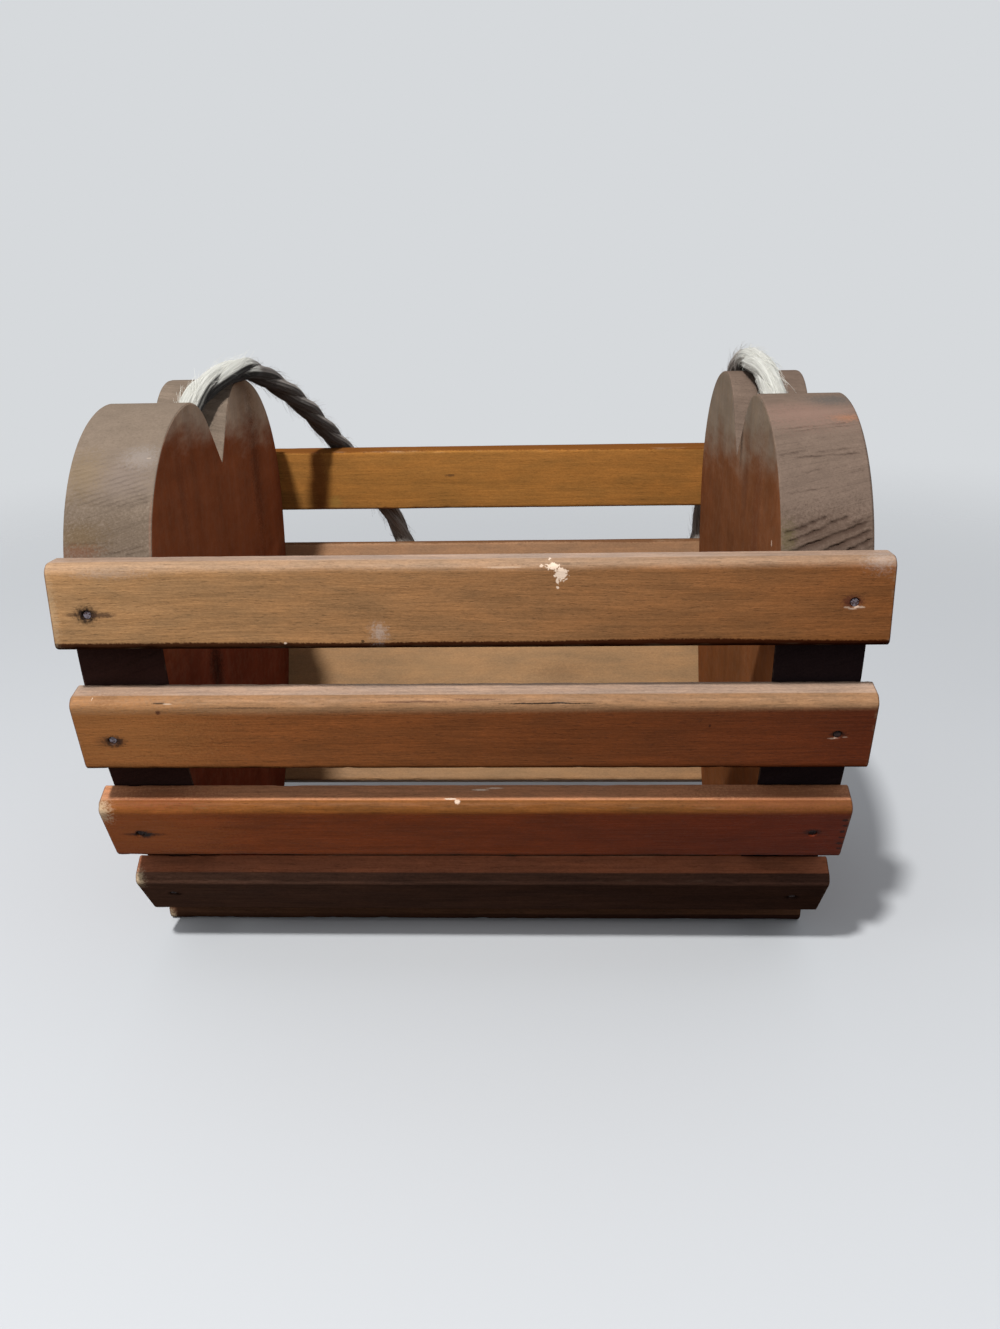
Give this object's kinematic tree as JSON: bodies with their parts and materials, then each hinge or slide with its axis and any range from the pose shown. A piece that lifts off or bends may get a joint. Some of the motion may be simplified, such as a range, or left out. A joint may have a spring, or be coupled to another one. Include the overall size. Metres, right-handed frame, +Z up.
{
  "type": "slatted basket",
  "caption": "Open wooden basket: spaced horizontal slats nailed round two heart-shaped end boards, with a rope handle that lifts from behind.",
  "frame": {"origin": "on the ground under the middle of the basket", "axes": "+X along the slats to the right, +Y to the rear, where the handle hangs, +Z up"},
  "size_m": [0.3588, 0.2937, 0.3004],
  "materials": {
    "heart_wood": "satin",
    "front_slat_wood": "satin",
    "rear_slat_wood": "satin",
    "bottom_slat_wood": "satin",
    "nail_steel": "dull",
    "rope_fibre": "fibrous"
  },
  "bodies": {
    "basket": {"bottom_nail_front_left": "nail_steel", "bottom_nail_front_right": "nail_steel", "bottom_nail_rear_left": "nail_steel", "bottom_nail_rear_right": "nail_steel", "bottom_slat_front": "bottom_slat_wood", "bottom_slat_rear": "bottom_slat_wood", "front_nail_1_left": "nail_steel", "front_nail_1_right": "nail_steel", "front_nail_2_left": "nail_steel", "front_nail_2_right": "nail_steel", "front_nail_3_left": "nail_steel", "front_nail_3_right": "nail_steel", "front_nail_4_left": "nail_steel", "front_nail_4_right": "nail_steel", "front_slat_1": "front_slat_wood", "front_slat_2": "front_slat_wood", "front_slat_3": "front_slat_wood", "front_slat_4": "front_slat_wood", "heart_end_left": "heart_wood", "heart_end_right": "heart_wood", "rear_nail_1_left": "nail_steel", "rear_nail_1_right": "nail_steel", "rear_nail_2_left": "nail_steel", "rear_nail_2_right": "nail_steel", "rear_nail_3_left": "nail_steel", "rear_nail_3_right": "nail_steel", "rear_nail_4_left": "nail_steel", "rear_nail_4_right": "nail_steel", "rear_slat_1": "rear_slat_wood", "rear_slat_2": "rear_slat_wood", "rear_slat_3": "rear_slat_wood", "rear_slat_4": "rear_slat_wood", "rope_end_left": "rope_fibre", "rope_end_right": "rope_fibre"},
    "handle": {"rope_handle": "rope_fibre"}
  },
  "joints": [
    {"name": "handle_lift", "type": "hinge", "parent": "basket", "child": "handle", "pos_m": [0, 0.04, 0.3005], "axis": [1, 0, 0], "range_deg": [0, 145]}
  ]
}
